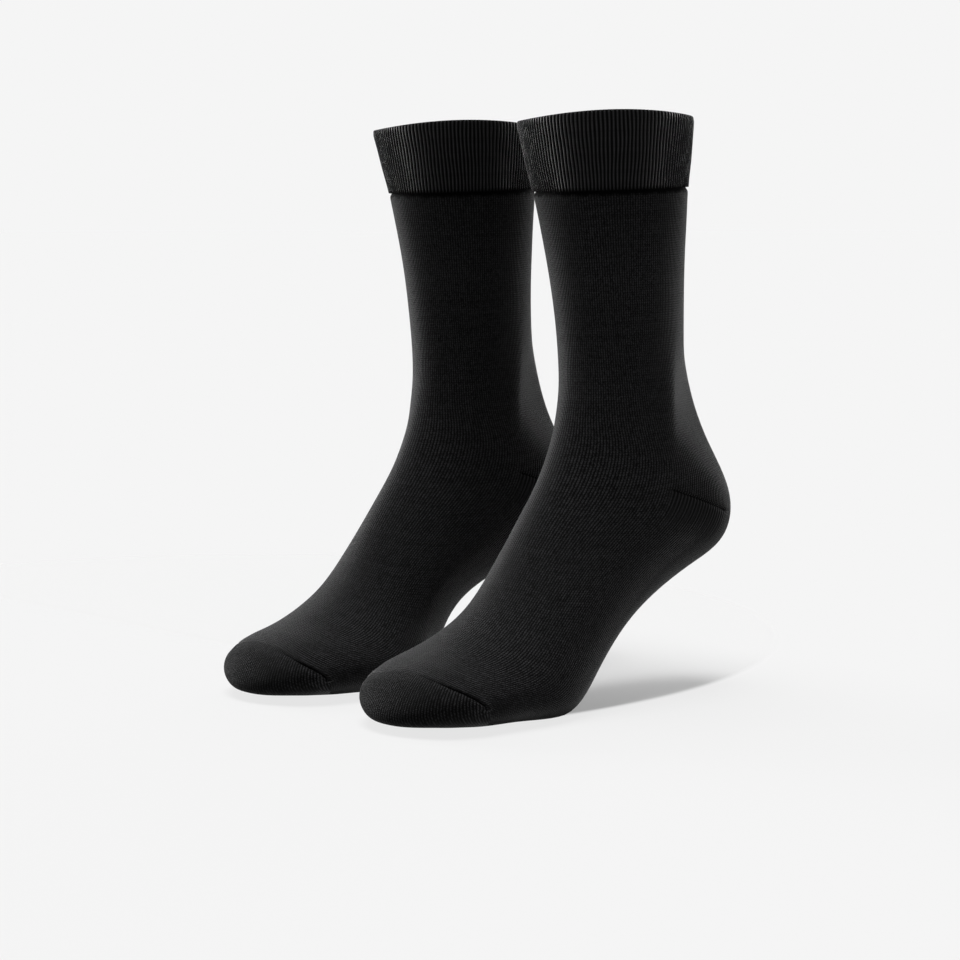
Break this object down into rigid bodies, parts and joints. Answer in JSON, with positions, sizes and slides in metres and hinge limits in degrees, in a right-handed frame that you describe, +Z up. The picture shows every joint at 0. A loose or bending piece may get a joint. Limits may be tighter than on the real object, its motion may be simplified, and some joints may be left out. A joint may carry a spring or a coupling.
{
  "type": "pair of socks",
  "caption": "Pair of plain knitted crew socks with ribbed cuffs, filled out as if worn, standing on the balls of the feet with heels raised.",
  "frame": {"origin": "midway between the middles of the two cuff openings, where the wearer's legs hold the pair up", "axes": "+Z up, along the legs; the toes point along -Y and the heels are towards +Y; +X is the wearer's left"},
  "size_m": [0.2152, 0.24, 0.313],
  "materials": {
    "rib_knit": "matt double rib knit, near black",
    "plain_knit": "matt fine plain knit, near black",
    "plaited_knit": "matt fine plain knit with a second yarn, near black"
  },
  "bodies": {
    "root": {"left_cuff": "rib_knit", "left_leg": "plain_knit", "left_heel": "plaited_knit", "left_foot": "plain_knit", "left_forefoot": "plain_knit", "left_toe": "plaited_knit", "right_cuff": "rib_knit", "right_leg": "plain_knit", "right_heel": "plaited_knit", "right_foot": "plain_knit", "right_forefoot": "plain_knit", "right_toe": "plaited_knit"}
  },
  "joints": []
}
